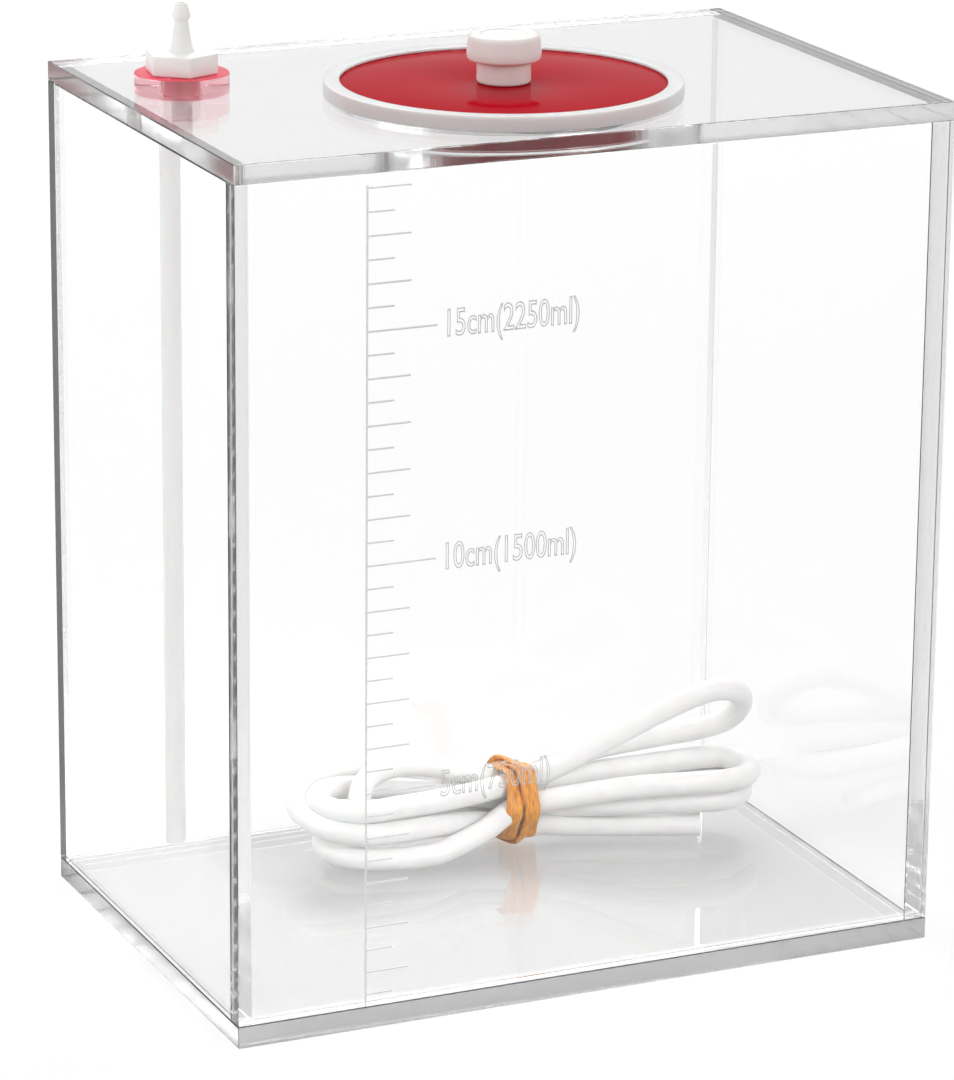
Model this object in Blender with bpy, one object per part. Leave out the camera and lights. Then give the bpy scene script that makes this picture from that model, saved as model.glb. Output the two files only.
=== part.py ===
"""Graduated clear acrylic liquid tank with a red push-in lid and a hose fitting.

Frame: origin at the middle of the base's underside, +X right across the scale face,
+Y towards the back, +Z up.  Units are metres.  Every sub-part is its own object.
"""
from math import cos, pi, radians, sin, tau

import bmesh
import bpy
from mathutils import Matrix, Vector

MM = 0.001
GAP = 0.3 * MM              # clearance left between neighbouring pieces

# Tank: driving sizes
WIDTH = 160 * MM
DEPTH = 108 * MM
HEIGHT = 185 * MM
WALL = 4 * MM
TOP_THICKNESS = 4 * MM
BASE_THICKNESS = 4.8 * MM
TOP_UNDERSIDE = HEIGHT - TOP_THICKNESS
EDGE_BREAK = 0.25 * MM      # the sheet's edges are just taken off

# Engraved scale on the front face
SCALE_LEFT = -51.8 * MM     # the scale's upright line
SCALE_ZERO = 2.7 * MM
SCALE_PITCH = 4.87 * MM     # one half-unit step
SCALE_STEPS = 36
SCALE_BOTTOM = 4.9 * MM
SCALE_TOP = 178.6 * MM
TICK_SHORT = 5.9 * MM
TICK_MEDIUM = 9.5 * MM
TICK_LONG = 15.2 * MM
ENGRAVED_WIDTH = 0.4 * MM
ENGRAVED_DEPTH = 0.25 * MM

# Lid and filler hole
LID_CENTRE = Vector((-3.9 * MM, -12.9 * MM, 0))
FILLER_RADIUS = 36.9 * MM
SEAL_FLANGE_RADIUS = 37.4 * MM
SEAL_LIP_RADIUS = 34.0 * MM
SEAL_TOP = HEIGHT + 3.25 * MM
SEAL_LIP = 0.4 * MM
SEAL_SKIRT_LENGTH = 3.7 * MM
DISC_RADIUS = 35.3 * MM
DISC_THICKNESS = 3 * MM
DISC_TOP = SEAL_TOP - SEAL_LIP - GAP
DISC_UNDERSIDE = DISC_TOP - DISC_THICKNESS
LID_SEGMENTS = 72

# Knob and its screw
STEM_RADIUS = 5.6 * MM
STEM_HEIGHT = 4.8 * MM
HEAD_RADIUS = 7.8 * MM
HEAD_TOP_RADIUS = 7.3 * MM
HEAD_HEIGHT = 5.3 * MM
HEAD_ROUND = 1.1 * MM
HEAD_RECESS_RADIUS = 5.0 * MM
HEAD_RECESS = 0.5 * MM
SCREW_RADIUS = 1.9 * MM
SCREW_HEAD_RADIUS = 3.6 * MM
SCREW_HEAD_HEIGHT = 2.0 * MM
SCREW_REACH = 6.5 * MM
WASHER_RADIUS = 5.0 * MM
WASHER_THICKNESS = 0.8 * MM
KNOB_SEGMENTS = 40

# Hose fitting, its red boss and the dip tube
FITTING_CENTRE = Vector((-64.8 * MM, 13.8 * MM, 0))
BOSS_RADIUS = 9.9 * MM
BOSS_TOP = HEIGHT + 4.2 * MM
HEX_ACROSS_FLATS = 13.7 * MM
HEX_HEIGHT = 4.1 * MM
HEX_BOTTOM = BOSS_TOP + GAP
HEX_TOP = HEX_BOTTOM + HEX_HEIGHT
HEX_TURN = radians(-39)     # plan angle of one corner
HEX_CHAMFER = 0.7 * MM
SHANK_RADIUS = 3.7 * MM
SHANK_BOTTOM = TOP_UNDERSIDE - 0.8 * MM
TAIL_HEIGHT = 10.1 * MM
BORE_RADIUS = 0.8 * MM
TUBE_RADIUS = 2.15 * MM
TUBE_BORE_RADIUS = 1.35 * MM
TUBE_BOTTOM = 20.5 * MM
TUBE_TOP = HEIGHT + 2 * MM
FITTING_SEGMENTS = 32
TUBE_SEGMENTS = 16

# Loose hose, tied in a hank on the tank's floor
HOSE_RADIUS = 2.6 * MM
BAND_THICKNESS = 1.2 * MM
BAND_WIDTH = 7 * MM
BAND_CENTRE_X = 17.5 * MM
HANK_BOTTOM = BASE_THICKNESS + BAND_THICKNESS + 2 * GAP
HANK_TOP = HANK_BOTTOM + 14.5 * MM
HANK_CENTRE_Y = 28.7 * MM   # at the rubber band
HANK_LEFT = -35 * MM
HANK_RIGHT = 74.5 * MM
HANK_HALF_WIDTH = 13.5 * MM
HANK_SLANT = -0.14          # it lies askew, nearer the front at its right end
HANK_WAIST = 7.5 * MM
LOOP_ROUTE = [
    (31.0, 23.8, 24.5), (37.0, 22.4, 26.6), (48.0, 20.2, 31.6), (57.5, 18.6, 35.6),
    (64.5, 18.0, 36.9), (70.1, 19.3, 35.0), (72.3, 22.4, 30.8), (70.1, 25.6, 27.0),
    (64.0, 28.2, 25.0), (54.0, 31.4, 24.5),
]

CLEAR = (0.93, 0.96, 0.96, 1)
RED = (0.62, 0.03, 0.05, 1)
WHITE = (0.9, 0.89, 0.87, 1)
MILKY = (0.86, 0.88, 0.87, 1)
ORANGE = (0.86, 0.42, 0.04, 1)
STEEL = (0.6, 0.6, 0.6, 1)


def clear_scene():
    for item in list(bpy.data.objects):
        bpy.data.objects.remove(item, do_unlink=True)


def material(name, colour, roughness, metallic=0.0):
    made = bpy.data.materials.new(name)
    made.use_nodes = True
    shader = made.node_tree.nodes["Principled BSDF"]
    shader.inputs["Base Color"].default_value = colour
    shader.inputs["Roughness"].default_value = roughness
    shader.inputs["Metallic"].default_value = metallic
    return made


def add_object(name, mesh_or_curve, look, parent=None):
    made = bpy.data.objects.new(name, mesh_or_curve)
    bpy.context.scene.collection.objects.link(made)
    made.data.materials.append(look)
    made.parent = parent
    return made


def mesh_from(bm, name, smooth_angle=None):
    bmesh.ops.recalc_face_normals(bm, faces=bm.faces)
    mesh = bpy.data.meshes.new(name)
    bm.to_mesh(mesh)
    bm.free()
    if smooth_angle:
        mesh.shade_smooth()
        mesh.set_sharp_from_angle(angle=smooth_angle)
    return mesh


def box(name, low, high, look, parent=None, edge_break=0.0):
    """A plain sheet or block between two corners, its edges just broken."""
    low, high = Vector(low), Vector(high)
    bm = bmesh.new()
    bmesh.ops.create_cube(bm, size=1.0)
    bmesh.ops.scale(bm, vec=high - low, verts=bm.verts)
    bmesh.ops.translate(bm, vec=(low + high) / 2, verts=bm.verts)
    if edge_break:
        bmesh.ops.bevel(bm, geom=bm.edges, offset=edge_break, segments=1, affect="EDGES")
    return add_object(name, mesh_from(bm, name), look, parent)


def turned_bmesh(profile, segments):
    """Spin a profile of (radius, height) points about Z.

    The profile runs round the section once.  Where both its ends have radius zero the
    piece is solid; otherwise the profile is closed and the piece has a hole through it.
    """
    bm = bmesh.new()
    rings = []
    for radius, height in profile:
        if radius == 0:
            rings.append([bm.verts.new((0, 0, height))])
            continue
        ring = []
        for step in range(segments):
            angle = tau * step / segments
            ring.append(bm.verts.new((radius * cos(angle), radius * sin(angle), height)))
        rings.append(ring)
    pairs = list(zip(rings, rings[1:]))
    if len(rings[0]) > 1:
        pairs.append((rings[-1], rings[0]))
    for lower, upper in pairs:
        for step in range(segments):
            after = (step + 1) % segments
            if len(lower) == 1:
                bm.faces.new((lower[0], upper[step], upper[after]))
            elif len(upper) == 1:
                bm.faces.new((lower[step], upper[0], lower[after]))
            else:
                bm.faces.new((lower[step], lower[after], upper[after], upper[step]))
    return bm


def turned(name, profile, segments, look, parent=None):
    return add_object(name, mesh_from(turned_bmesh(profile, segments), name, radians(35)),
                      look, parent)


def prism_bmesh(outline, low, high):
    """Extrude a closed outline of (x, y) points from one height to another."""
    bm = bmesh.new()
    face = bm.faces.new([bm.verts.new((x, y, low)) for x, y in outline])
    grown = bmesh.ops.extrude_face_region(bm, geom=[face])
    raised = [item for item in grown["geom"] if isinstance(item, bmesh.types.BMVert)]
    bmesh.ops.translate(bm, vec=(0, 0, high - low), verts=raised)
    return bm


def rod_bmesh(radius, low, high, segments):
    return turned_bmesh([(0, low), (radius, low), (radius, high), (0, high)], segments)


def combine(target, bm, operation, name, parent=None):
    """Cut a helper shape out of an object, or join it on."""
    helper = bpy.data.objects.new(name, mesh_from(bm, name))
    bpy.context.scene.collection.objects.link(helper)
    helper.parent = parent
    helper.hide_render = True
    helper.display_type = "WIRE"
    modifier = target.modifiers.new(name, "BOOLEAN")
    modifier.operation = operation
    modifier.solver = "EXACT"
    modifier.object = helper
    return helper


def pivot(name, place):
    empty = bpy.data.objects.new(name, None)
    bpy.context.scene.collection.objects.link(empty)
    empty.location = place
    return empty


def scale_outline():
    """The engraved scale as one comb: an upright line with a tick at every half unit."""
    half = ENGRAVED_WIDTH / 2
    spine_left = SCALE_LEFT - half
    spine_right = SCALE_LEFT + half
    outline = [(spine_left, SCALE_TOP), (spine_left, SCALE_BOTTOM), (spine_right, SCALE_BOTTOM)]
    for step in range(1, SCALE_STEPS + 1):
        height = SCALE_ZERO + step * SCALE_PITCH
        reach = TICK_SHORT
        if step % 2 == 0:
            reach = TICK_MEDIUM
        if step % 10 == 0:
            reach = TICK_LONG
        outline.append((spine_right, height - half))
        outline.append((SCALE_LEFT + reach, height - half))
        outline.append((SCALE_LEFT + reach, height + half))
        outline.append((spine_right, height + half))
    outline.append((spine_right, SCALE_TOP))
    return outline


def build_panels(clear):
    half_x = WIDTH / 2
    half_y = DEPTH / 2
    low = BASE_THICKNESS + GAP
    high = TOP_UNDERSIDE - GAP
    box("base_panel", (-half_x, -half_y, 0), (half_x, half_y, BASE_THICKNESS), clear,
        edge_break=EDGE_BREAK)
    box("back_panel", (-half_x, half_y - WALL, low), (half_x, half_y, high), clear,
        edge_break=EDGE_BREAK)
    side = half_y - WALL - GAP
    box("left_panel", (-half_x, -side, low), (-half_x + WALL, side, high), clear,
        edge_break=EDGE_BREAK)
    box("right_panel", (half_x - WALL, -side, low), (half_x, side, high), clear,
        edge_break=EDGE_BREAK)
    front = box("front_panel", (-half_x, -half_y, low), (half_x, -half_y + WALL, high), clear,
                edge_break=EDGE_BREAK)
    engraver = prism_bmesh(scale_outline(), half_y - ENGRAVED_DEPTH, half_y + WALL)
    bmesh.ops.rotate(engraver, cent=(0, 0, 0), matrix=Matrix.Rotation(pi / 2, 3, "X"),
                     verts=engraver.verts)
    combine(front, engraver, "DIFFERENCE", "scale_cutter")


def build_top(clear):
    half_x = WIDTH / 2
    half_y = DEPTH / 2
    top = box("top_panel", (-half_x, -half_y, TOP_UNDERSIDE), (half_x, half_y, HEIGHT), clear,
              edge_break=EDGE_BREAK)
    low = TOP_UNDERSIDE - WALL
    high = HEIGHT + WALL
    filler = combine(top, rod_bmesh(FILLER_RADIUS, low, high, LID_SEGMENTS), "DIFFERENCE",
                     "filler_cutter")
    filler.location = LID_CENTRE
    fitting = combine(top, rod_bmesh(SHANK_RADIUS + GAP, low, high, FITTING_SEGMENTS),
                      "DIFFERENCE", "fitting_cutter")
    fitting.location = FITTING_CENTRE


def build_lid(red, milky, white, steel):
    """The lid's pieces hang on one empty at the middle of the filler hole."""
    lid = pivot("lid_axis", LID_CENTRE)
    screw_hole = SCREW_RADIUS + GAP
    turned("lid_disc", [(screw_hole, DISC_UNDERSIDE), (DISC_RADIUS, DISC_UNDERSIDE),
                        (DISC_RADIUS, DISC_TOP), (screw_hole, DISC_TOP)],
           LID_SEGMENTS, red, lid)

    skirt = FILLER_RADIUS - GAP
    skirt_bottom = HEIGHT - SEAL_SKIRT_LENGTH
    shoulder = HEIGHT + GAP
    groove = DISC_RADIUS + GAP
    groove_bottom = DISC_UNDERSIDE - GAP
    groove_top = DISC_TOP + GAP
    round_off = 0.4 * MM
    turned("lid_seal", [
        (SEAL_LIP_RADIUS, skirt_bottom), (skirt - round_off, skirt_bottom),
        (skirt, skirt_bottom + round_off), (skirt, shoulder),
        (SEAL_FLANGE_RADIUS, shoulder), (SEAL_FLANGE_RADIUS, SEAL_TOP - round_off),
        (SEAL_FLANGE_RADIUS - round_off, SEAL_TOP), (SEAL_LIP_RADIUS, SEAL_TOP),
        (SEAL_LIP_RADIUS, groove_top), (groove, groove_top), (groove, groove_bottom),
        (SEAL_LIP_RADIUS, groove_bottom)], LID_SEGMENTS, milky, lid)

    foot = DISC_TOP + GAP
    head_bottom = foot + STEM_HEIGHT
    head_top = head_bottom + HEAD_HEIGHT
    profile = [(screw_hole, foot), (STEM_RADIUS, foot), (STEM_RADIUS, head_bottom),
               (HEAD_RADIUS - 0.3 * MM, head_bottom), (HEAD_RADIUS, head_bottom + 0.3 * MM)]
    for step in range(5):
        angle = radians(90) * step / 4
        profile.append((HEAD_TOP_RADIUS - HEAD_ROUND + HEAD_ROUND * cos(angle),
                        head_top - HEAD_ROUND + HEAD_ROUND * sin(angle)))
    profile += [(HEAD_RECESS_RADIUS, head_top), (HEAD_RECESS_RADIUS - HEAD_RECESS,
                head_top - HEAD_RECESS), (0, head_top - HEAD_RECESS)]
    screw_end = DISC_TOP + GAP + SCREW_REACH
    profile = [(0, screw_end + GAP), (screw_hole, screw_end + GAP)] + profile
    turned("lid_knob", profile, KNOB_SEGMENTS, white, lid)

    washer_top = DISC_UNDERSIDE - GAP
    washer_bottom = washer_top - WASHER_THICKNESS
    turned("knob_washer", [(screw_hole, washer_bottom), (WASHER_RADIUS, washer_bottom),
                           (WASHER_RADIUS, washer_top), (screw_hole, washer_top)],
           KNOB_SEGMENTS, white, lid)
    head_high = washer_bottom - GAP
    head_low = head_high - SCREW_HEAD_HEIGHT
    screw = turned("knob_screw", [
        (0, head_low), (SCREW_HEAD_RADIUS * 0.7, head_low),
        (SCREW_HEAD_RADIUS, head_low + SCREW_HEAD_HEIGHT * 0.5),
        (SCREW_HEAD_RADIUS, head_high), (SCREW_RADIUS, head_high),
        (SCREW_RADIUS, screw_end - 0.4 * MM), (SCREW_RADIUS - 0.4 * MM, screw_end),
        (0, screw_end)], FITTING_SEGMENTS, steel, lid)
    half, arm = 0.45 * MM, 2.0 * MM
    cross = [(arm, -half), (arm, half), (half, half), (half, arm), (-half, arm), (-half, half),
             (-arm, half), (-arm, -half), (-half, -half), (-half, -arm), (half, -arm),
             (half, -half)]
    combine(screw, prism_bmesh(cross, head_low - 1 * MM, head_low + 1 * MM), "DIFFERENCE",
            "cross_slot", lid)


def build_fitting(red, white, milky):
    place = pivot("fitting_axis", FITTING_CENTRE)
    hole = SHANK_RADIUS + GAP
    boss_round = 0.25 * MM
    turned("fitting_boss", [
        (hole, HEIGHT + GAP), (BOSS_RADIUS, HEIGHT + GAP),
        (BOSS_RADIUS, BOSS_TOP - boss_round), (BOSS_RADIUS - boss_round, BOSS_TOP),
        (hole, BOSS_TOP)], KNOB_SEGMENTS, red, place)

    tail = HEX_TOP
    body = turned("hose_fitting", [
        (0, SHANK_BOTTOM), (SHANK_RADIUS - 0.4 * MM, SHANK_BOTTOM),
        (SHANK_RADIUS, SHANK_BOTTOM + 0.4 * MM), (SHANK_RADIUS, HEX_BOTTOM + 1 * MM),
        (2.7 * MM, HEX_BOTTOM + 1 * MM), (2.7 * MM, tail), (2.3 * MM, tail + 0.6 * MM),
        (1.35 * MM, tail + 6.4 * MM), (1.95 * MM, tail + 7.2 * MM),
        (1.9 * MM, tail + 7.6 * MM), (1.25 * MM, tail + TAIL_HEIGHT - 0.2 * MM),
        (1.1 * MM, tail + TAIL_HEIGHT), (0, tail + TAIL_HEIGHT)],
        FITTING_SEGMENTS, white, place)
    corner = HEX_ACROSS_FLATS / 2 / cos(radians(30))
    outline = []
    for step in range(6):
        angle = HEX_TURN + radians(60) * step
        outline.append((corner * cos(angle), corner * sin(angle)))
    hexagon = prism_bmesh(outline, HEX_BOTTOM, HEX_TOP)
    rim = [edge for edge in hexagon.edges if all(vert.co.z > HEX_TOP - GAP for vert in edge.verts)]
    bmesh.ops.bevel(hexagon, geom=rim, offset=HEX_CHAMFER, segments=1, affect="EDGES")
    combine(body, hexagon, "UNION", "hexagon", place)
    combine(body, rod_bmesh(BORE_RADIUS, SHANK_BOTTOM - WALL, tail + TAIL_HEIGHT + WALL,
                            TUBE_SEGMENTS), "DIFFERENCE", "bore_cutter", place)
    combine(body, rod_bmesh(TUBE_RADIUS + GAP, SHANK_BOTTOM - WALL, TUBE_TOP + GAP,
                            TUBE_SEGMENTS), "DIFFERENCE", "socket_cutter", place)
    turned("dip_tube", [(TUBE_BORE_RADIUS, TUBE_BOTTOM), (TUBE_RADIUS, TUBE_BOTTOM),
                        (TUBE_RADIUS, TUBE_TOP), (TUBE_BORE_RADIUS, TUBE_TOP)],
           TUBE_SEGMENTS, milky, place)


def hank_half_width(along):
    """Half the hank's width at a place along it, 0 at the left end and 1 at the right."""
    waist_at = (BAND_CENTRE_X - HANK_LEFT) / (HANK_RIGHT - HANK_LEFT)
    off_waist = min(1.0, abs(along - waist_at) / 0.35)
    return HANK_WAIST + (HANK_HALF_WIDTH - HANK_WAIST) * sin(pi / 2 * off_waist) ** 2


def hank_outline():
    """The hank from above: round ends, drawn in at the rubber band, and lying askew."""
    points = []
    steps = 10
    left = HANK_LEFT + HANK_HALF_WIDTH
    right = HANK_RIGHT - HANK_HALF_WIDTH
    for side in (-1, 1):
        for step in range(steps + 1):
            along = step / steps if side < 0 else 1 - step / steps
            x = left + (right - left) * along
            width = hank_half_width((x - HANK_LEFT) / (HANK_RIGHT - HANK_LEFT))
            points.append((x, HANK_CENTRE_Y + side * width))
        middle = right if side < 0 else left
        for step in range(1, 6):
            angle = (-pi / 2 if side < 0 else pi / 2) + pi * step / 6
            points.append((middle + HANK_HALF_WIDTH * cos(angle),
                           HANK_CENTRE_Y + HANK_HALF_WIDTH * sin(angle)))
    return [(x, y + HANK_SLANT * (x - BAND_CENTRE_X)) for x, y in points]


def smooth_route(points, per_span):
    """Points on a smooth curve (Catmull-Rom) through the route's own points."""
    ends = [2 * points[0] - points[1]] + points + [2 * points[-1] - points[-2]]
    route = []
    for first, second, third, fourth in zip(ends, ends[1:], ends[2:], ends[3:]):
        for step in range(per_span):
            t = step / per_span
            route.append(0.5 * (2 * second + (third - first) * t
                                + (2 * first - 5 * second + 4 * third - fourth) * t ** 2
                                + (3 * second - first - 3 * third + fourth) * t ** 3))
    return route + [points[-1]]


def hose(name, route, look):
    curve = bpy.data.curves.new(name, "CURVE")
    curve.dimensions = "3D"
    curve.bevel_depth = HOSE_RADIUS
    curve.bevel_resolution = 2
    curve.use_fill_caps = True
    spline = curve.splines.new("POLY")
    spline.points.add(len(route) - 1)
    for point, place in zip(spline.points, route):
        point.co = (*place, 1)
    return add_object(name, curve, look)


def build_hose(white, orange):
    hank = prism_bmesh(hank_outline(), HANK_BOTTOM, HANK_TOP)
    add_object("hose_hank", mesh_from(hank, "hose_hank"), white)
    route = [Vector(place) * MM for place in LOOP_ROUTE]
    hose("hose_loop", smooth_route(route, 2), white)

    inner_y = HANK_WAIST + 1.2 * MM
    inner_z = (HANK_TOP - HANK_BOTTOM) / 2 + GAP
    middle_z = (HANK_TOP + HANK_BOTTOM) / 2
    band = box("rubber_band",
               (BAND_CENTRE_X - BAND_WIDTH / 2, HANK_CENTRE_Y - inner_y - BAND_THICKNESS,
                middle_z - inner_z - BAND_THICKNESS),
               (BAND_CENTRE_X + BAND_WIDTH / 2, HANK_CENTRE_Y + inner_y + BAND_THICKNESS,
                middle_z + inner_z + BAND_THICKNESS), orange)
    opening = bmesh.new()
    bmesh.ops.create_cube(opening, size=1.0)
    bmesh.ops.scale(opening, vec=(3 * BAND_WIDTH, 2 * inner_y, 2 * inner_z), verts=opening.verts)
    bmesh.ops.translate(opening, vec=(BAND_CENTRE_X, HANK_CENTRE_Y, middle_z),
                        verts=opening.verts)
    combine(band, opening, "DIFFERENCE", "band_cutter")


def main():
    clear_scene()
    clear = material("clear_acrylic", CLEAR, 0.03)
    red = material("red_acrylic", RED, 0.06)
    white = material("white_plastic", WHITE, 0.35)
    milky = material("milky_silicone", MILKY, 0.4)
    hose_white = material("silicone_hose", WHITE, 0.4)
    orange = material("orange_rubber", ORANGE, 0.45)
    steel = material("stainless_steel", STEEL, 0.3, 1.0)
    build_panels(clear)
    build_top(clear)
    build_lid(red, milky, white, steel)
    build_fitting(red, white, milky)
    build_hose(hose_white, orange)


main()
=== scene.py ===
"""The looks of a graduated clear acrylic liquid tank: sheets, lid, hose fitting and a hank of hose.

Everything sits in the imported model's frame: +X right across the scale face, +Y to the back, +Z up
from the underside of the base.  Sizes are in metres, written as millimetres times MM.
"""
from math import cos, pi, radians, sin, tau

import bmesh
import bpy
from mathutils import Matrix, Quaternion, Vector


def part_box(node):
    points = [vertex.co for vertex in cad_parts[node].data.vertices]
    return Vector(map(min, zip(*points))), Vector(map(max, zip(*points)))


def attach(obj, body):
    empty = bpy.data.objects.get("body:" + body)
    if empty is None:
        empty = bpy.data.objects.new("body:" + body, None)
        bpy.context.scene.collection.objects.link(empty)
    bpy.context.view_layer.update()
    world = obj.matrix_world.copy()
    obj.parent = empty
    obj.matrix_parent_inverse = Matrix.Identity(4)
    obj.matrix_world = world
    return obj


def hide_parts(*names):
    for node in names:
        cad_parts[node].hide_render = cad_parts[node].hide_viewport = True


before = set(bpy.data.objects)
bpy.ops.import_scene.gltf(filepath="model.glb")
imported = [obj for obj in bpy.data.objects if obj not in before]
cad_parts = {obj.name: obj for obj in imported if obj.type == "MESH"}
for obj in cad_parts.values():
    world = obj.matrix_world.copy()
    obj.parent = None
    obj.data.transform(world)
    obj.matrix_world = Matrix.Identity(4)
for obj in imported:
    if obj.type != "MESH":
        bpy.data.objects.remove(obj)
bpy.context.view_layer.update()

MM = 0.001

# Light paths
CLEAR_BOUNCES = 28
GLOSSY_BOUNCES = 12

# Camera, in the model's frame
CAMERA_PLACE = Vector((-0.42905, -0.94362, 0.40221))
CAMERA_FORWARD = Vector((0.393296, 0.871422, -0.293160))
CAMERA_ROLL = radians(0.531)
CAMERA_LENS = 167.9

# Floor: it glows a little behind the line FADE_START, and less and less in front of it
FLOOR_REACH = 9.0
FLOOR_DROP = 0.1 * MM
FLOOR_COLOUR = (0.50, 0.50, 0.50)
FLOOR_GLOW = 0.36
FLOOR_FRONT_SHARE = (0.36, 0.36, 0.36)
FLOOR_FADE_START = -0.14
FLOOR_FADE_END = -0.5

# Surroundings: grey by height, from level to straight up, and darker towards the front
SKY_STOPS = ((0.0, (0.85, 0.85, 0.86)), (0.45, (0.6, 0.6, 0.61)), (1.0, (1.0, 1.0, 1.0)))
SKY_FRONT_SHARE = 0.55
SKY_FRONT = -0.7
SKY_BACK = 0.3

# Softboxes: name, place, width and height in metres, and power in watts
LIGHT_AIM = Vector((0, 0, 0.1))
SOFTBOXES = (
    ("back_light", (0.5, 1.3, 1.3), (1.2, 0.8), 15),
    ("left_light", (-1.6, 0.1, 0.9), (1.2, 1.2), 10),
    ("front_light", (0.6, -1.5, 0.9), (0.8, 0.8), 10),
)

# Hose: radius, bore and the route of its centreline from the right-hand free end to the left
HOSE_RADIUS = 2.6 * MM
HOSE_BORE = 1.35 * MM
HOSE_SIDES = 20
ROUTE_STEPS = 6
HOSE_ROUTE = [
    # free end on the floor, right
    (57.5, 12.2, 7.5), (48, 15.6, 7.6), (38, 19.4, 7.7), (28, 23.0, 8.0), (17.5, 26.1, 8.7),
    # first left turn, the outermost
    (7, 25.4, 10.4), (-4, 21.6, 12.5), (-12.5, 20.4, 12.9), (-21, 20.8, 13.2),
    (-28.8, 24.4, 14.6), (-32.0, 32.0, 16.8), (-28.6, 39.8, 18.8), (-20.5, 43.4, 20.0),
    (-10, 43.4, 19.6), (1, 40.2, 17.2), (9.5, 36.8, 14.8), (17.5, 34.1, 13.5),
    # first right turn, upper front
    (27, 33.2, 14.4), (38, 31.8, 15.8), (50, 29.4, 16.8), (62, 27.2, 17.6), (69.2, 24.4, 18.0),
    (72.0, 18.3, 17.8), (69.2, 12.2, 17.8), (62.5, 9.4, 18.2), (53, 10.0, 18.6),
    (42, 13.2, 18.2), (29.5, 18.4, 16.2), (17.5, 23.3, 13.5),
    # second left turn, lowest
    (7, 19.8, 10.2), (-4, 17.6, 7.7), (-11, 17.8, 7.4), (-18, 19.4, 7.4), (-24.4, 22.8, 7.8),
    (-27, 29.0, 8.4), (-24.2, 35.2, 9.4), (-17.5, 38.6, 10.6), (-8, 38.8, 11.2),
    (1, 36.8, 10.6), (9.5, 33.8, 9.4), (17.5, 31.3, 8.7),
    # second right turn, lower front
    (28, 31.2, 8.8), (39, 30.2, 9.6), (51, 28.2, 11.0), (61.5, 27.6, 12.2), (67.6, 25.0, 12.8),
    (70.4, 19.2, 12.8), (67.8, 13.6, 12.8), (61, 11.4, 13.0), (50, 13.6, 13.4),
    (38.5, 17.6, 13.1), (27, 23.4, 12.7), (17.5, 28.7, 13.5),
    # third left turn, innermost
    (8, 31.0, 15.2), (-3, 34.2, 16.6), (-12, 36.6, 17.8), (-20.5, 36.8, 18.8),
    (-26.2, 34.4, 19.0), (-28.4, 29.2, 18.8), (-26.2, 24.4, 18.4), (-20, 22.0, 18.0),
    (-12, 22.4, 17.9), (-3, 22.8, 17.9), (7, 24.6, 17.8), (17.5, 26.1, 18.3),
    # raised right loop
    (26, 24.8, 20.8), (37, 22.4, 26.4), (48, 20.2, 31.6), (57.5, 18.6, 35.6),
    (64.5, 18.0, 36.9), (70.1, 19.3, 35.0), (72.3, 22.4, 30.6), (70.1, 25.6, 26.4),
    (64.0, 28.2, 24.2), (54, 31.4, 22.6), (41, 33.0, 21.2), (28.5, 32.8, 19.6),
    (17.5, 31.3, 18.3),
    # tail, left
    (8, 32.2, 20.4), (-2, 33.4, 22.8), (-10.5, 33.0, 23.4), (-16.5, 31.0, 21.8),
    (-19, 29.0, 18.0), (-19.4, 28.4, 14.4),
]

# Rubber band round the seven strands.  Each pass has its shift along the strands, its lean, the
# angle in radians where it leans most, its width and how far it stands out; lengths are in
# millimetres.
BAND_CENTRE = Vector((17.5 * MM, 28.7 * MM, 13.5 * MM))
BAND_REACH = 8.1
BAND_STRAND_WAVE = 0.45
BAND_WAVER = 0.35 * MM
BAND_THICKNESS = 1.0 * MM
BAND_TWIST = 0.5
BAND_STEPS = 96
BAND_CORNERS = 12
BAND_PASSES = (
    (-1.5, 0.9, 0.4, 3.9, 0.0),
    (1.4, -0.8, 0.8, 3.9, 0.1),
    (0.0, 2.2, 2.6, 3.4, 0.9),
)

# Sheets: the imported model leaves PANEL_GAP between them, and here only GLUE_LINE is left
WALL = 4 * MM
PANEL_GAP = 0.3 * MM
GLUE_LINE = 0.05 * MM
EDGE_BREAK = 0.25 * MM
EDGE_LINES_ACROSS = (2600, 2600, 60)
EDGE_LINES_UPRIGHT = (60, 60, 2600)

# Engraved scale and values on the front face
SCALE_LEFT = -51.8 * MM
SCALE_ZERO = 2.7 * MM
SCALE_PITCH = 4.87 * MM
SCALE_STEPS = 36
SCALE_BOTTOM = 4.9 * MM
SCALE_TOP = 178.6 * MM
TICKS = (5.9 * MM, 9.5 * MM, 15.2 * MM)
ENGRAVED_WIDTH = 0.4 * MM
ENGRAVED_DEPTH = 0.25 * MM
LABELS = (("15cm(2250ml)", 15), ("10cm(1500ml)", 10), ("5cm(750ml)", 5))
LABEL_LEFT = -35.4 * MM
LABEL_SIZE = 8.0 * MM
LABEL_SQUEEZE = 0.65
LABEL_DROP = 2.5 * MM
LABEL_SUNK = 0.06 * MM
LABEL_STROKE = 0.15 * MM
GROOVE_LIP = 0.02 * MM
SCALE_MARGIN = 1 * MM
SCALE_HALF_SPAN = 77.5 * MM

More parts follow.
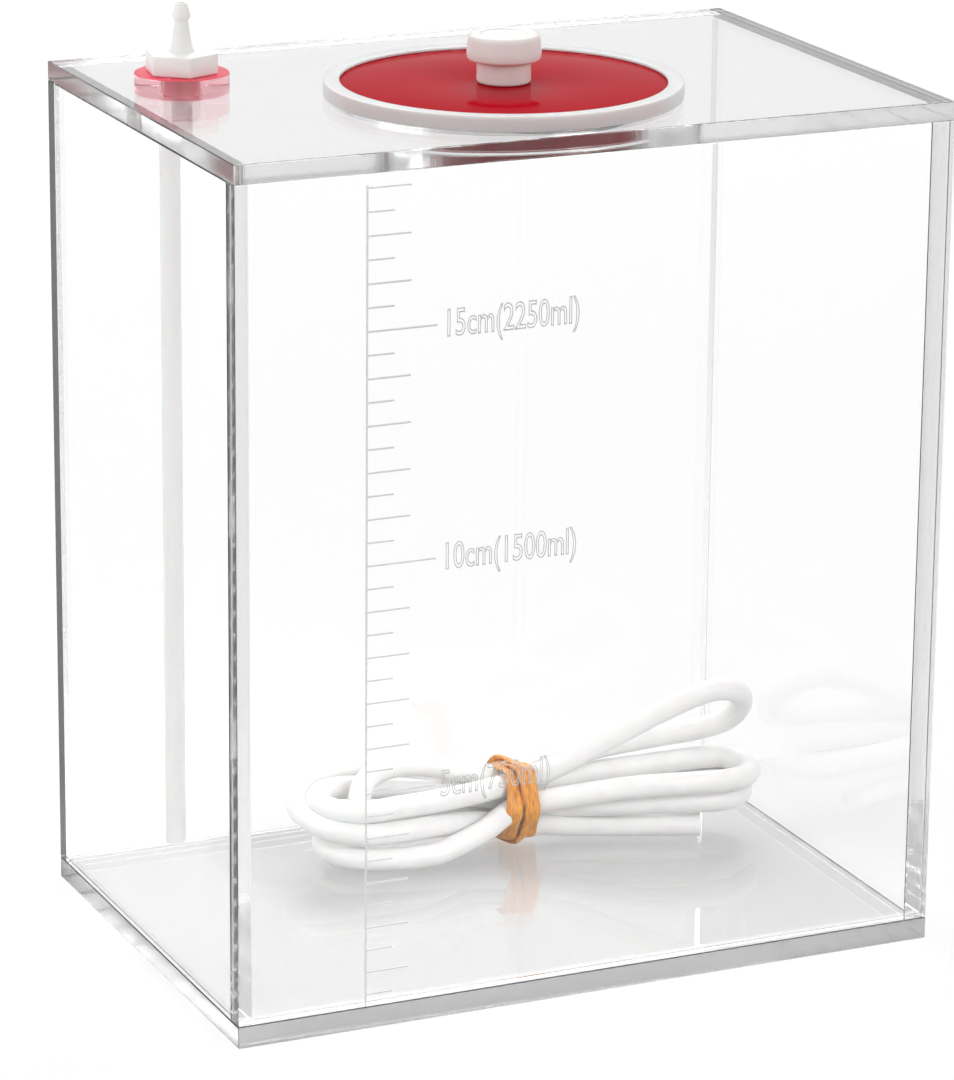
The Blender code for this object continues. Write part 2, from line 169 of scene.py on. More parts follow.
# Lid
LID_CENTRE = Vector((-3.9 * MM, -12.9 * MM, 0))
FILLER_RADIUS = 36.9 * MM
DISC_RADIUS = 35.3 * MM
DISC_RIM_RADIUS = 33.4 * MM
SEAL_LIP_RADIUS = 34.0 * MM
SEAL_FLANGE_RADIUS = 37.4 * MM
SEAL_PLAY = 0.15 * MM
SCREW_HOLE_RADIUS = 2.2 * MM
WASHER_RADIUS = 5 * MM
KNOB_STEM_HEIGHT = 4.8 * MM
KNOB_FOOT_RADIUS = 5.65 * MM
KNOB_STEM_RADIUS = 5.6 * MM
KNOB_RADIUS = 7.8 * MM
ROUND_SEGMENTS = 128

# What is left between pieces that rest on each other
CONTACT = 0.05 * MM

# Hose fitting
FITTING_CENTRE = Vector((-64.8 * MM, 13.8 * MM, 0))
FITTING_HOLE_RADIUS = 4.0 * MM
BOSS_RADIUS = 9.9 * MM
BOSS_BORE = 3.9 * MM
HEX_ACROSS_FLATS = 13.7 * MM
HEX_HEIGHT = 4.3 * MM
HEX_TURN = -39
SHANK_RADIUS = 3.7 * MM
SHANK_BORE = 2.4 * MM
TAIL_COLLAR_RADIUS = 2.75 * MM
TAIL_BARB_RADIUS = 1.95 * MM
TAIL_BORE = 0.8 * MM
DIP_TUBE_RADIUS = 2.15 * MM
DIP_TUBE_BORE = 1.35 * MM


# ---------------------------------------------------------------- camera, floor, light

def make_camera():
    """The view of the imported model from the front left, a little above."""
    data = bpy.data.cameras.new("camera")
    data.sensor_width = 36
    data.lens = CAMERA_LENS
    data.clip_start = 0.05
    data.clip_end = 30
    camera = bpy.data.objects.new("camera", data)
    camera.location = CAMERA_PLACE
    camera.rotation_mode = "QUATERNION"
    aim = CAMERA_FORWARD.to_track_quat("-Z", "Y")
    camera.rotation_quaternion = aim @ Quaternion((0, 0, 1), CAMERA_ROLL)
    bpy.context.scene.collection.objects.link(camera)
    bpy.context.scene.camera = camera


def make_floor():
    """A pale plane under the tank, darker towards the camera."""
    mesh = bpy.data.meshes.new("floor")
    corners = [(x * FLOOR_REACH, y * FLOOR_REACH, 0) for x, y in ((-1, -1), (1, -1), (1, 1), (-1, 1))]
    mesh.from_pydata(corners, [], [(0, 1, 2, 3)])
    floor = bpy.data.objects.new("floor", mesh)
    floor.location.z = -FLOOR_DROP
    bpy.context.scene.collection.objects.link(floor)
    material, shader = principled("studio_floor", FLOOR_COLOUR, 0.8)
    shader.inputs["Emission Strength"].default_value = FLOOR_GLOW
    nodes, links = material.node_tree.nodes, material.node_tree.links
    place = nodes.new("ShaderNodeTexCoord")
    split = nodes.new("ShaderNodeSeparateXYZ")
    fade = nodes.new("ShaderNodeMapRange")
    shade = nodes.new("ShaderNodeValToRGB")
    fade.inputs["From Min"].default_value = FLOOR_FADE_END
    fade.inputs["From Max"].default_value = FLOOR_FADE_START
    shade.color_ramp.elements[0].color = (*FLOOR_FRONT_SHARE, 1)
    links.new(place.outputs["Object"], split.inputs["Vector"])
    links.new(split.outputs["Y"], fade.inputs["Value"])
    links.new(fade.outputs["Result"], shade.inputs["Fac"])
    links.new(shade.outputs["Color"], shader.inputs["Emission Color"])
    mesh.materials.append(material)


def make_world():
    """Soft light from all round, by height and by how far to the back it comes from."""
    world = bpy.data.worlds.new("studio")
    bpy.context.scene.world = world
    world.use_nodes = True
    nodes, links = world.node_tree.nodes, world.node_tree.links
    place = nodes.new("ShaderNodeTexCoord")
    split = nodes.new("ShaderNodeSeparateXYZ")
    upward = nodes.new("ShaderNodeValToRGB")
    backward = nodes.new("ShaderNodeMapRange")
    shade = nodes.new("ShaderNodeVectorMath")
    shade.operation = "SCALE"
    backward.inputs["From Min"].default_value = SKY_FRONT
    backward.inputs["From Max"].default_value = SKY_BACK
    backward.inputs["To Min"].default_value = SKY_FRONT_SHARE
    backward.inputs["To Max"].default_value = 1.0
    links.new(place.outputs["Generated"], split.inputs["Vector"])
    links.new(split.outputs["Z"], upward.inputs["Fac"])
    links.new(split.outputs["Y"], backward.inputs["Value"])
    links.new(upward.outputs["Color"], shade.inputs[0])
    links.new(backward.outputs["Result"], shade.inputs["Scale"])
    links.new(shade.outputs["Vector"], nodes["Background"].inputs["Color"])
    stops = upward.color_ramp.elements
    stops.new(SKY_STOPS[1][0])
    for stop, (position, colour) in zip(stops, SKY_STOPS):
        stop.position = position
        stop.color = (*colour, 1)


def make_lights():
    """The softboxes, each turned towards the tank."""
    for name, place, (width, height), power in SOFTBOXES:
        data = bpy.data.lights.new(name, "AREA")
        data.shape = "RECTANGLE"
        data.size = width
        data.size_y = height
        data.energy = power
        lamp = bpy.data.objects.new(name, data)
        lamp.location = place
        lamp.rotation_mode = "QUATERNION"
        lamp.rotation_quaternion = (LIGHT_AIM - Vector(place)).to_track_quat("-Z", "Y")
        bpy.context.scene.collection.objects.link(lamp)


# ---------------------------------------------------------------- materials

def principled(name, colour, roughness, **sockets):
    """A Principled material; sockets are its inputs by name, with _ for a space."""
    material = bpy.data.materials.new(name)
    material.use_nodes = True
    shader = material.node_tree.nodes["Principled BSDF"]
    shader.inputs["Base Color"].default_value = (*colour, 1)
    shader.inputs["Roughness"].default_value = roughness
    for socket, value in sockets.items():
        shader.inputs[socket.replace("_", " ")].default_value = value
    return material, shader


def texture(material, scale, detail=3.0, stretch=(1, 1, 1)):
    """Noise in the model's own coordinates, scale being the number of grains to a metre."""
    nodes, links = material.node_tree.nodes, material.node_tree.links
    place = nodes.new("ShaderNodeTexCoord")
    mapping = nodes.new("ShaderNodeMapping")
    mapping.inputs["Scale"].default_value = stretch
    grain = nodes.new("ShaderNodeTexNoise")
    grain.inputs["Scale"].default_value = scale
    grain.inputs["Detail"].default_value = detail
    links.new(place.outputs["Object"], mapping.inputs["Vector"])
    links.new(mapping.outputs["Vector"], grain.inputs["Vector"])
    return grain.outputs["Fac"]


def add_bump(material, height, strength, distance):
    """Relief from the texture, distance metres deep."""
    nodes, links = material.node_tree.nodes, material.node_tree.links
    bump = nodes.new("ShaderNodeBump")
    bump.inputs["Strength"].default_value = strength
    bump.inputs["Distance"].default_value = distance
    links.new(height, bump.inputs["Height"])
    links.new(bump.outputs["Normal"], nodes["Principled BSDF"].inputs["Normal"])


def vary(material, socket, fac, low, high):
    """The socket goes from low to high with the texture; colours or plain numbers."""
    nodes, links = material.node_tree.nodes, material.node_tree.links
    if isinstance(low, tuple):
        ramp = nodes.new("ShaderNodeValToRGB")
        ramp.color_ramp.elements[0].position = 0.3
        ramp.color_ramp.elements[0].color = (*low, 1)
        ramp.color_ramp.elements[1].position = 0.7
        ramp.color_ramp.elements[1].color = (*high, 1)
        links.new(fac, ramp.inputs["Fac"])
        source = ramp.outputs["Color"]
    else:
        spread = nodes.new("ShaderNodeMapRange")
        spread.inputs["From Min"].default_value = 0.3
        spread.inputs["From Max"].default_value = 0.7
        spread.inputs["To Min"].default_value = low
        spread.inputs["To Max"].default_value = high
        links.new(fac, spread.inputs["Value"])
        source = spread.outputs["Result"]
    links.new(source, nodes["Principled BSDF"].inputs[socket])


def polished_acrylic(name, clearness_and_shade):
    """Clear sheet with a very slight wave in its surface; a clearness below one greys it as painted
    shade.
    """
    material, _ = principled(name, (clearness_and_shade, clearness_and_shade, clearness_and_shade), 0.0,
                             Transmission_Weight=1.0, IOR=1.49)
    add_bump(material, texture(material, 35, 1.0), 0.02, 0.2 * MM)
    return material


def cut_edge(name, stretch, grey):
    """Laser-cut edge: clear, a little frosted, with fine lines across the sheet's thickness; grey
    darkens it as painted shade.
    """
    material, _ = principled(name, (grey, grey, grey), 0.1, Transmission_Weight=1.0, IOR=1.49)
    lines = texture(material, 1.0, 2.0, stretch)
    add_bump(material, lines, 0.22, 0.12 * MM)
    vary(material, "Roughness", lines, 0.04, 0.16)
    return material


def engraved_acrylic(name, dark, light):
    """Frosted by the engraving laser, and grainy."""
    material, _ = principled(name, (light, light, light), 0.6)
    grain = texture(material, 4200, 4.0)
    add_bump(material, grain, 0.5, 0.05 * MM)
    vary(material, "Base Color", grain, (dark, dark, dark), (light, light, light))
    return material


def red_acrylic():
    """The lid's opaque red disc, with only a weak mirror image in its top."""
    material, _ = principled("red_acrylic", (0.43, 0.002, 0.011), 0.06, IOR=1.055)
    add_bump(material, texture(material, 60, 2.0), 0.03, 0.2 * MM)
    vary(material, "Roughness", texture(material, 300, 4.0), 0.04, 0.10)
    return material


def boss_red(name, colour, transmission):
    """Red sheet that light passes through."""
    material, _ = principled(name, colour, 0.05, Transmission_Weight=transmission, IOR=1.25)
    add_bump(material, texture(material, 120, 2.0), 0.03, 0.2 * MM)
    vary(material, "Roughness", texture(material, 400, 3.0), 0.03, 0.09)
    return material


def moulded_white(name, colour):
    """Moulded plastic, finely grained and a little uneven in tone."""
    material, _ = principled(name, colour, 0.42, Subsurface_Weight=0.25, Subsurface_Scale=1.2 * MM)
    grain = texture(material, 2600, 4.0)
    add_bump(material, grain, 0.25, 0.05 * MM)
    vary(material, "Roughness", grain, 0.34, 0.5)
    duller = tuple(0.96 * channel for channel in colour)
    vary(material, "Base Color", texture(material, 160, 3.0), duller, colour)
    return material


def silicone(name, colour, transmission, roughness):
    """Soft milky or clear rubber or plastic."""
    material, _ = principled(name, colour, roughness, Transmission_Weight=transmission, IOR=1.41,
                             Subsurface_Weight=0.5, Subsurface_Scale=2.0 * MM)
    grain = texture(material, 900, 3.0)
    add_bump(material, grain, 0.15, 0.08 * MM)
    return material


def hose_silicone():
    """Milky hose with faint clouds in its wall."""
    material, _ = principled("hose_silicone", (0.84, 0.84, 0.835), 0.33, IOR=1.42,
                             Subsurface_Weight=0.25, Subsurface_Scale=1.2 * MM)
    cloud = texture(material, 240, 3.0)
    vary(material, "Base Color", cloud, (0.82, 0.82, 0.81), (0.88, 0.88, 0.87))
    add_bump(material, texture(material, 1500, 4.0), 0.12, 0.05 * MM)
    return material


def orange_rubber():
    """Stretched rubber with streaks along the band."""
    material, _ = principled("orange_rubber", (0.90, 0.33, 0.003), 0.45,
                             Subsurface_Weight=0.15, Subsurface_Scale=0.6 * MM)
    streaks = texture(material, 1.0, 4.0, (3200, 500, 500))
    vary(material, "Base Color", streaks, (0.46, 0.13, 0.0), (0.90, 0.37, 0.0))
    add_bump(material, streaks, 0.5, 0.12 * MM)
    return material


def stainless_steel():
    """Turned metal with fine rings."""
    material, _ = principled("stainless_steel", (0.62, 0.62, 0.62), 0.28, Metallic=1.0)
    turned_lines = texture(material, 1.0, 3.0, (500, 500, 5000))
    add_bump(material, turned_lines, 0.2, 0.03 * MM)
    vary(material, "Roughness", turned_lines, 0.2, 0.36)
    return material


# ---------------------------------------------------------------- mesh helpers

def add_piece(name, bm, materials, body, replaced=(), sharp=35):
    """The mesh as a piece on a body; faces are smooth up to the angle sharp, and flat at 0."""
    mesh = bpy.data.meshes.new(name)
    bm.to_mesh(mesh)
    bm.free()
    for material in materials:
        mesh.materials.append(material)
    if sharp:
        mesh.shade_smooth()
        mesh.set_sharp_from_angle(angle=radians(sharp))
    else:
        mesh.shade_flat()
    return place_piece(bpy.data.objects.new(name, mesh), body, replaced)


def place_piece(obj, body, replaced=()):
    """Puts the piece on its body and the CAD nodes that it stands for."""
    if obj.name not in bpy.context.scene.collection.objects:
        bpy.context.scene.collection.objects.link(obj)
    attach(obj, body)
    if replaced:
        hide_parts(*replaced)
    return obj


def soften(profile, radius, steps=4):
    """The closed profile with each corner off the axis rounded."""
    rounded = []
    for index, corner in enumerate(profile):
        corner = Vector(corner)
        before = Vector(profile[index - 1])
        after = Vector(profile[(index + 1) % len(profile)])
        if corner.x == 0:
            rounded.append(corner)
            continue
        reach_in = min(radius, (before - corner).length * 0.45)
        reach_out = min(radius, (after - corner).length * 0.45)
        start = corner + (before - corner).normalized() * reach_in
        end = corner + (after - corner).normalized() * reach_out
        for step in range(steps + 1):
            t = step / steps
            rounded.append(start * (1 - t) ** 2 + corner * 2 * t * (1 - t) + end * t * t)
    return rounded


def lathe(profile, centre, segments=ROUND_SEGMENTS, close=True):
    """Turns (radius, height) points about the upright axis through centre."""
    bm = bmesh.new()
    rings = []
    for radius, height in profile:
        if radius == 0:
            rings.append([bm.verts.new((centre.x, centre.y, height))] * segments)
            continue
        ring = []
        for step in range(segments):
            angle = tau * step / segments
            ring.append(bm.verts.new((centre.x + radius * cos(angle),
                                      centre.y + radius * sin(angle), height)))
        rings.append(ring)
    following = rings[1:] + rings[:1] if close else rings[1:]
    for ring, other in zip(rings, following):
        for step in range(segments):
            after = (step + 1) % segments
            corners = []
            for vert in (ring[step], ring[after], other[after], other[step]):
                if vert not in corners:
                    corners.append(vert)
            if len(corners) > 2:
                bm.faces.new(corners)
    bmesh.ops.recalc_face_normals(bm, faces=bm.faces)
    return bm


def prism(outline, low, high):
    """An upright solid over the outline, from the height low to high."""
    bm = bmesh.new()
    face = bm.faces.new([bm.verts.new((x, y, low)) for x, y in outline])
    lifted = bmesh.ops.extrude_face_region(bm, geom=[face])["geom"]
    bmesh.ops.translate(bm, vec=(0, 0, high - low),
                        verts=[item for item in lifted if isinstance(item, bmesh.types.BMVert)])
    bmesh.ops.recalc_face_normals(bm, faces=bm.faces)
    return bm


def block(low, high):
    """A box from corner to corner with its edges broken."""
    bm = bmesh.new()
    bmesh.ops.create_cube(bm, size=1)
    size = high - low
    middle = (low + high) / 2
    for vert in bm.verts:
        vert.co = Vector((middle.x + vert.co.x * size.x, middle.y + vert.co.y * size.y,
                          middle.z + vert.co.z * size.z))
    bmesh.ops.bevel(bm, geom=bm.edges[:], offset=EDGE_BREAK, segments=3, profile=0.5,
                    affect="EDGES")
    return bm


def cut(bm, cutters):
    """The body with each cutter taken away from it."""
    for cutter in cutters:
        helpers = []
        for part in (bm, cutter):
            mesh = bpy.data.meshes.new("cut_helper")
            part.to_mesh(mesh)
            part.free()
            helper = bpy.data.objects.new("cut_helper", mesh)
            bpy.context.scene.collection.objects.link(helper)
            helpers.append(helper)
        boolean = helpers[0].modifiers.new("cut", "BOOLEAN")
        boolean.object = helpers[1]
        boolean.operation = "DIFFERENCE"
        evaluated = helpers[0].evaluated_get(bpy.context.evaluated_depsgraph_get())
        bm = bmesh.new()
        bm.from_mesh(evaluated.to_mesh())
        for helper in helpers:
            bpy.data.objects.remove(helper)
    return bm


def smooth_route(points):
    """A Catmull-Rom curve through the points, which are in millimetres."""
    places = [Vector(point) * MM for point in points]
    padded = [2 * places[0] - places[1], *places, 2 * places[-1] - places[-2]]
    route = []
    for a, b, c, d in zip(padded, padded[1:], padded[2:], padded[3:]):
        for step in range(ROUTE_STEPS):
            t = step / ROUTE_STEPS
            route.append((2 * b + (c - a) * t + (2 * a - 5 * b + 4 * c - d) * t ** 2
                          + (3 * b - a - 3 * c + d) * t ** 3) / 2)
    return route + [places[-1]]


def carried_frames(route):
    """An upright and a sideways direction at each point, carried along without twist."""
    frames = []
    upright = Vector((0, 0, 1))
    for index in range(len(route)):
        ahead = route[min(index + 1, len(route) - 1)] - route[max(index - 1, 0)]
        ahead.normalize()
        upright = (upright - ahead * upright.dot(ahead)).normalized()
        frames.append((upright, ahead.cross(upright)))
    return frames


# ---------------------------------------------------------------- the hose and its band

def make_hose():
    """One tube, hollow from end to end, swept along the route."""
    route = smooth_route(HOSE_ROUTE)
    frames = carried_frames(route)
    bm = bmesh.new()
    rings = {}
    for radius in (HOSE_RADIUS, HOSE_BORE):
        rings[radius] = []
        for place, (up, side) in zip(route, frames):
            ring = []
            for step in range(HOSE_SIDES):
                angle = tau * step / HOSE_SIDES
                ring.append(bm.verts.new(place + (up * cos(angle) + side * sin(angle)) * radius))
            rings[radius].append(ring)
    outer, bore = rings[HOSE_RADIUS], rings[HOSE_BORE]
    for step in range(HOSE_SIDES):
        after = (step + 1) % HOSE_SIDES
        for wall in (outer, bore):
            for ring, other in zip(wall, wall[1:]):
                bm.faces.new((ring[step], ring[after], other[after], other[step]))
        for end in (0, -1):
            bm.faces.new((outer[end][step], outer[end][after], bore[end][after],
                          bore[end][step]))
    bmesh.ops.recalc_face_normals(bm, faces=bm.faces)
    hose = add_piece("hose", bm, [hose_silicone()], "tank",
                     ["hose_hank", "hose_loop"], sharp=50)
    return hose, route


def band_ring(shift, lean, spin, width, bulge):
    """One pass of the rubber band: a flat ribbon round the strands, leaning and part twisted."""
    bm = bmesh.new()
    rings = []
    for step in range(BAND_STEPS):
        angle = tau * step / BAND_STEPS
        out = Vector((0, cos(angle), sin(angle)))
        reach = (BAND_REACH + bulge + BAND_STRAND_WAVE * cos(6 * angle)) * MM
        middle = BAND_CENTRE + out * reach
        middle.x += (shift + lean * cos(angle - spin)) * MM
        middle.x += BAND_WAVER * sin(3 * angle + spin)
        twist = BAND_TWIST * sin(2 * angle + spin)
        flat = Vector((cos(twist), 0, 0)) + out * sin(twist)
        thick = out * cos(twist) - Vector((sin(twist), 0, 0))
        ring = []
        for corner in range(BAND_CORNERS):
            turn = tau * corner / BAND_CORNERS
            across = abs(cos(turn)) ** 0.5 * (1 if cos(turn) > 0 else -1)
            ring.append(bm.verts.new(middle + flat * across * width * MM / 2
                                     + thick * sin(turn) * BAND_THICKNESS / 2))
        rings.append(ring)
    for ring, other in zip(rings, rings[1:] + rings[:1]):
        for corner in range(BAND_CORNERS):
            after = (corner + 1) % BAND_CORNERS
            bm.faces.new((ring[corner], ring[after], other[after], other[corner]))
    bmesh.ops.recalc_face_normals(bm, faces=bm.faces)
    return bm


def make_band():
    """The rubber band's passes as separate pieces; the first stands for the CAD band."""
    rubber = orange_rubber()
    bands = []
    for number, measures in enumerate(BAND_PASSES):
        replaced = ["rubber_band"] if number == 0 else []
        bands.append(add_piece(f"rubber_band_turn_{number + 1}", band_ring(*measures), [rubber],
                               "tank", replaced, sharp=60))
    return bands


# ---------------------------------------------------------------- the acrylic sheets

def paint_faces(bm, thin_axis):
    """Slot 0 on the sheet's two polished faces, slot 1 on its cut edges."""
    for face in bm.faces:
        face.material_index = 0 if abs(face.normal[thin_axis]) > 0.9 else 1


def paint_engraving(bm, front_y):
    """Slot 2 inside the engraved lines, told by their depth and the scale's extent."""
    for face in bm.faces:
        centre = face.calc_center_median()
        sunk = front_y + GROOVE_LIP < centre.y < front_y + ENGRAVED_DEPTH * 1.2
        level = SCALE_BOTTOM - SCALE_MARGIN < centre.z < SCALE_TOP + SCALE_MARGIN
        if sunk and level and abs(centre.x) < SCALE_HALF_SPAN:
            face.material_index = 2


def make_sheet(name, node, grow, thin_axis, materials, cutters=()):
    """A sheet in its CAD node's place, let out by grow at its low and high sides."""
    low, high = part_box(node)
    bm = cut(block(low - Vector(grow[0]), high + Vector(grow[1])), cutters)
    bm.normal_update()
    paint_faces(bm, thin_axis)
    if node == "front_panel":
        paint_engraving(bm, low.y)
    sheet = add_piece(name, bm, materials, "tank", [node], sharp=0)
    sheet.visible_shadow = False


def scale_cutter(front_y):
    """The engraved scale as one comb: an upright line with a tick at every half unit."""
    half = ENGRAVED_WIDTH / 2
    left, right = SCALE_LEFT - half, SCALE_LEFT + half
    outline = [(left, SCALE_TOP), (left, SCALE_BOTTOM), (right, SCALE_BOTTOM)]
    for step in range(1, SCALE_STEPS + 1):
        height = SCALE_ZERO + step * SCALE_PITCH
        reach = SCALE_LEFT + TICKS[(step % 2 == 0) + (step % 10 == 0)]
        outline += [(right, height - half), (reach, height - half), (reach, height + half),
                    (right, height + half)]
    outline.append((right, SCALE_TOP))
    bm = prism(outline, -front_y - ENGRAVED_DEPTH, -front_y + WALL)
    bmesh.ops.rotate(bm, cent=(0, 0, 0), matrix=Matrix.Rotation(pi / 2, 3, "X"), verts=bm.verts)
    return bm


def round_holes():
    """The cutters for the filler opening and the fitting's hole in the top."""
    low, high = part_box("top_panel")
    holes = []
    for centre, radius in ((LID_CENTRE, FILLER_RADIUS), (FITTING_CENTRE, FITTING_HOLE_RADIUS)):
        holes.append(lathe([(radius, low.z - WALL), (radius, high.z + WALL),
                            (0, high.z + WALL), (0, low.z - WALL)], centre))
    return holes


def make_sheets():
    """The six sheets, let out so that only a glue line is left between them."""
    polished = polished_acrylic("polished_acrylic", 0.99)
    # Painted shade: the base sheet's face is greyed to 0.80, and the cut edges to 0.52 on the base,
    # 0.74 on the top and 0.86 on the uprights, all copies of one clear acrylic.
    base = [polished_acrylic("polished_base_painted_shade", 0.80), cut_edge("cut_edge_base_painted_shade", EDGE_LINES_ACROSS, 0.52)]
    top = [polished, cut_edge("cut_edge_top_painted_shade", EDGE_LINES_ACROSS, 0.74)]
    upright = [polished, cut_edge("cut_edge_upright_painted_shade", EDGE_LINES_UPRIGHT, 0.86)]
    engraved = engraved_acrylic("engraved_scale", 0.62, 0.84)
    gap = PANEL_GAP - GLUE_LINE
    as_it_is = ((0, 0, 0), (0, 0, 0))
    taller = ((0, 0, gap), (0, 0, gap))
    taller_and_deeper = ((0, gap, gap), (0, gap, gap))
    make_sheet("base_sheet", "base_panel", as_it_is, 2, base)
    make_sheet("back_sheet", "back_panel", taller, 1, upright)
    make_sheet("left_sheet", "left_panel", taller_and_deeper, 0, upright)
    make_sheet("right_sheet", "right_panel", taller_and_deeper, 0, upright)
    make_sheet("scale_sheet", "front_panel", taller, 1, [*upright, engraved],
               [scale_cutter(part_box("front_panel")[0].y)])
    make_sheet("top_sheet", "top_panel", as_it_is, 2, top, round_holes())


def make_labels():
    """The engraved values, each set beside its line of the scale."""
    # The strokes' grey is partly the engraving's frost and partly painted shade of the engraved
    # grooves.
    stroke_frost_and_shade = engraved_acrylic("engraved_label_frost_and_shade", 0.50, 0.74)
    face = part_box("front_panel")[0].y
    for words, units in LABELS:
        data = bpy.data.curves.new("label", "FONT")
        data.body = words
        data.size = LABEL_SIZE
        data.fill_mode = "NONE"
        data.bevel_depth = LABEL_STROKE
        data.bevel_resolution = 1
        data.resolution_u = 4
        data.materials.append(stroke_frost_and_shade)
        label = bpy.data.objects.new(f"label_{units}", data)
        height = SCALE_ZERO + units * 2 * SCALE_PITCH - LABEL_DROP
        label.location = (LABEL_LEFT, face + LABEL_SUNK, height)
        label.rotation_euler.x = pi / 2
        label.scale.x = LABEL_SQUEEZE
        bpy.context.scene.collection.objects.link(label)
        place_piece(label, "tank")


# ---------------------------------------------------------------- the lid

def make_disc():
    """The red disc, stepped in below to a narrower rim."""
    low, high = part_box("lid_disc")
    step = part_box("lid_seal")[0].z + 0.2 * MM
    disc = lathe(soften([
        (SCREW_HOLE_RADIUS, low.z), (DISC_RIM_RADIUS, low.z), (DISC_RIM_RADIUS, step),
        (DISC_RADIUS, step), (DISC_RADIUS, high.z), (SCREW_HOLE_RADIUS, high.z)],
        0.15 * MM), LID_CENTRE)
    add_piece("lid_red_disc", disc, [red_acrylic()], "lid", ["lid_disc"])


def make_sealing_ring():
    """The ring round the disc: a milky flange on the top sheet and a clear skirt below it."""
    low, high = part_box("lid_seal")
    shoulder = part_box("top_panel")[1].z + CONTACT
    skirt = FILLER_RADIUS - SEAL_PLAY
    groove = DISC_RADIUS + CONTACT
    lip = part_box("lid_disc")[1].z + 0.04 * MM
    ring = lathe(soften([
        (groove, low.z), (skirt, low.z), (skirt, shoulder), (SEAL_FLANGE_RADIUS, shoulder),
        (SEAL_FLANGE_RADIUS, high.z), (SEAL_LIP_RADIUS, high.z), (SEAL_LIP_RADIUS, lip),
        (groove, lip)], 0.3 * MM), LID_CENTRE)
    for face in ring.faces:
        face.material_index = 1 if face.calc_center_median().z < shoulder else 0
    milky = silicone("seal_silicone", (0.98, 0.98, 0.98), 0.4, 0.3)
    clear = silicone("seal_skirt_silicone", (0.97, 0.97, 0.97), 1.0, 0.04)
    add_piece("lid_sealing_ring", ring, [milky, clear], "lid", ["lid_seal"])


def make_knob():
    """The lift knob, its washer, and the screw that holds them."""
    white = moulded_white("knob_white", (0.80, 0.775, 0.75))
    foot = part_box("lid_disc")[1].z + 0.03 * MM
    knee = foot + KNOB_STEM_HEIGHT
    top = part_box("lid_knob")[1].z
    hollow = top - 0.5 * MM
    knob = lathe(soften([
        (0, foot), (KNOB_FOOT_RADIUS, foot), (KNOB_STEM_RADIUS, knee), (7.6 * MM, knee),
        (KNOB_RADIUS, knee + 1.5 * MM), (7.45 * MM, hollow), (6.3 * MM, top), (5.1 * MM, top),
        (4.5 * MM, hollow), (0, hollow)], 0.8 * MM, 6), LID_CENTRE, 96, close=False)
    add_piece("lid_lift_knob", knob, [white], "lid", ["lid_knob"])

    low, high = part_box("knob_washer")
    washer = lathe(soften([
        (SCREW_HOLE_RADIUS, low.z), (WASHER_RADIUS, low.z), (WASHER_RADIUS, high.z),
        (SCREW_HOLE_RADIUS, high.z)], 0.2 * MM), LID_CENTRE, 64)
    add_piece("lid_knob_washer", washer, [white], "lid", ["knob_washer"])
    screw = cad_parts["knob_screw"]
    screw.data.materials.clear()
    screw.data.materials.append(stainless_steel())


def make_lid():
    """The lid's pieces: disc, ring, knob, washer and screw."""
    make_disc()
    make_sealing_ring()
    make_knob()


# ---------------------------------------------------------------- the hose fitting

def make_boss():
    """The red disc under the hexagon, one red acrylic in two tones: its top deep red as painted shade,
    its sides pale pink as painted light.
    """
    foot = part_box("top_panel")[1].z + CONTACT
    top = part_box("fitting_boss")[1].z
    boss = lathe(soften([(BOSS_BORE, foot), (BOSS_RADIUS, foot), (BOSS_RADIUS, top),
                         (BOSS_BORE, top)], 0.25 * MM), FITTING_CENTRE)
    boss.normal_update()
    # Painted shade and light: faces that look up take the deep red, the side faces the pale pink.
    for face in boss.faces:
        face.material_index = 0 if face.normal.z > 0.7 else 1
    red = boss_red("boss_top_painted_shade", (0.98, 0.05, 0.10), 0.35)
    pale = boss_red("boss_rim_painted_light", (1.0, 0.60, 0.64), 0.92)
    add_piece("red_boss", boss, [red, pale], "tank", ["fitting_boss"])


def make_hexagon(foot, top, white):
    """The fitting's hexagon, with its edges rounded."""
    corner = HEX_ACROSS_FLATS / 2 / cos(radians(30))
    outline = []
    for step in range(6):
        angle = radians(HEX_TURN + 60 * step)
        outline.append((FITTING_CENTRE.x + corner * cos(angle),
                        FITTING_CENTRE.y + corner * sin(angle)))
    hexagon = prism(outline, foot, top)
    bmesh.ops.bevel(hexagon, geom=hexagon.edges[:], offset=0.35 * MM, segments=3, profile=0.5,
                    affect="EDGES")
    add_piece("fitting_hexagon", hexagon, [white], "tank", ["hose_fitting"],
              sharp=40)


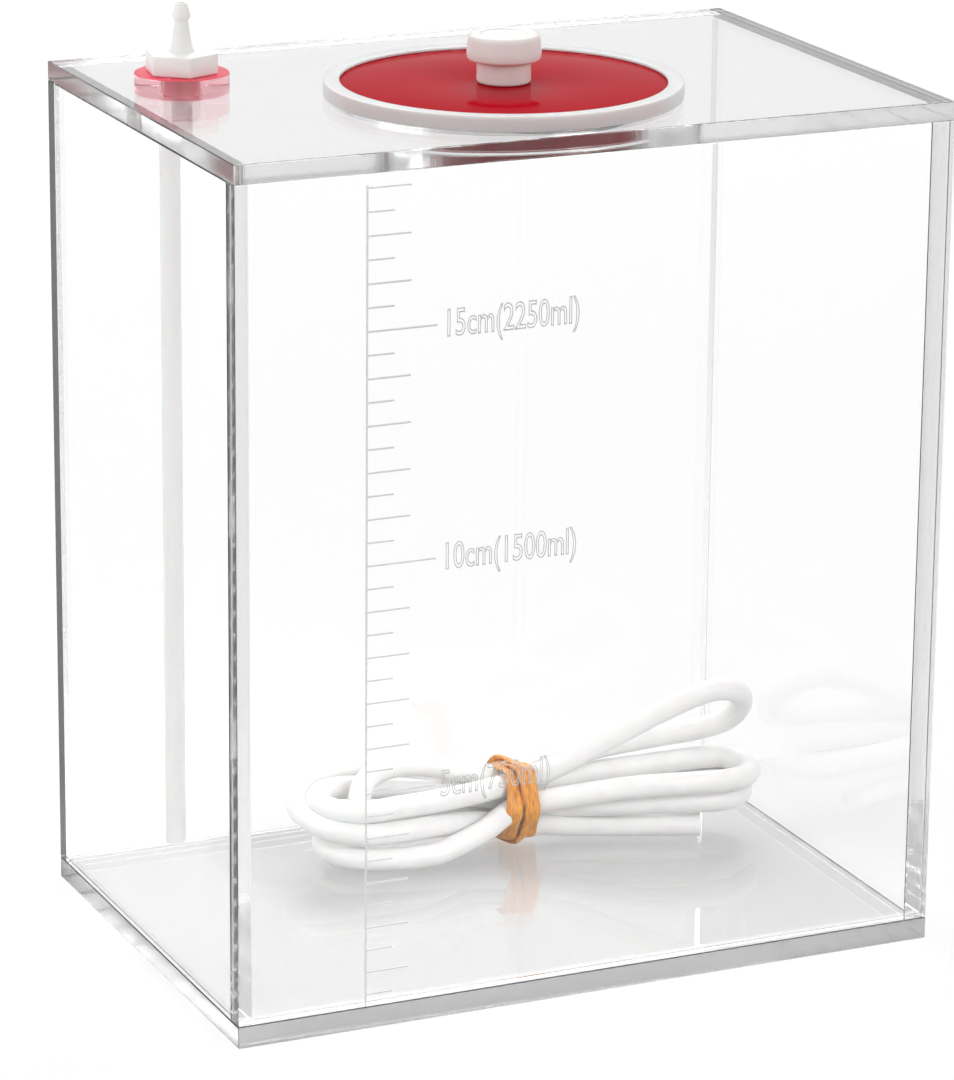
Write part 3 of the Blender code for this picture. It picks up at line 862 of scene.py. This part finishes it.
def make_tail(root, white):
    """The hose tail: a collar, a taper and one barb at the tip."""
    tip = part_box("hose_fitting")[1].z
    tail = lathe(soften([
        (TAIL_BORE, root - 0.5 * MM), (TAIL_COLLAR_RADIUS, root - 0.5 * MM),
        (TAIL_COLLAR_RADIUS, root + 0.1 * MM), (2.3 * MM, root + 0.7 * MM),
        (1.4 * MM, tip - 3.7 * MM), (TAIL_BARB_RADIUS, tip - 2.9 * MM), (1.9 * MM, tip - 2.5 * MM),
        (1.2 * MM, tip - 0.15 * MM), (1.05 * MM, tip), (TAIL_BORE, tip)],
        0.12 * MM), FITTING_CENTRE, 64)
    add_piece("fitting_hose_tail", tail, [white], "tank")


def make_shank(top, white):
    """The fitting's shank, a plain tube down through the top sheet."""
    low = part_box("hose_fitting")[0].z
    shank = lathe(soften([(SHANK_BORE, low), (SHANK_RADIUS, low), (SHANK_RADIUS, top),
                          (SHANK_BORE, top)], 0.3 * MM), FITTING_CENTRE, 64)
    add_piece("fitting_shank", shank, [white], "tank")


def make_dip_tube():
    """The clear tube from the fitting down to the bottom of the tank."""
    low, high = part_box("dip_tube")
    tube = lathe(soften([
        (DIP_TUBE_BORE, low.z), (DIP_TUBE_RADIUS, low.z), (DIP_TUBE_RADIUS, high.z),
        (DIP_TUBE_BORE, high.z)], 0.1 * MM), FITTING_CENTRE, 48)
    plastic = silicone("tube_plastic", (0.95, 0.955, 0.955), 0.6, 0.2)
    add_piece("dip_tube_clear", tube, [plastic], "tank", ["dip_tube"])


def make_fitting():
    """The boss, the white fitting on it and the dip tube below."""
    white = moulded_white("fitting_white", (0.88, 0.87, 0.85))
    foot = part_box("fitting_boss")[1].z + CONTACT
    root = foot + HEX_HEIGHT
    make_boss()
    make_hexagon(foot, root, white)
    make_tail(root, white)
    make_shank(foot - 0.01 * MM, white)
    make_dip_tube()


# ---------------------------------------------------------------- all together

scene = bpy.context.scene
scene.view_settings.view_transform = "Standard"
scene.cycles.max_bounces = CLEAR_BOUNCES
scene.cycles.transmission_bounces = CLEAR_BOUNCES
scene.cycles.glossy_bounces = GLOSSY_BOUNCES
make_camera()
make_floor()
make_world()
make_lights()
hose_piece, hose_line = make_hose()
band_pieces = make_band()
make_sheets()
make_labels()
make_lid()
make_fitting()
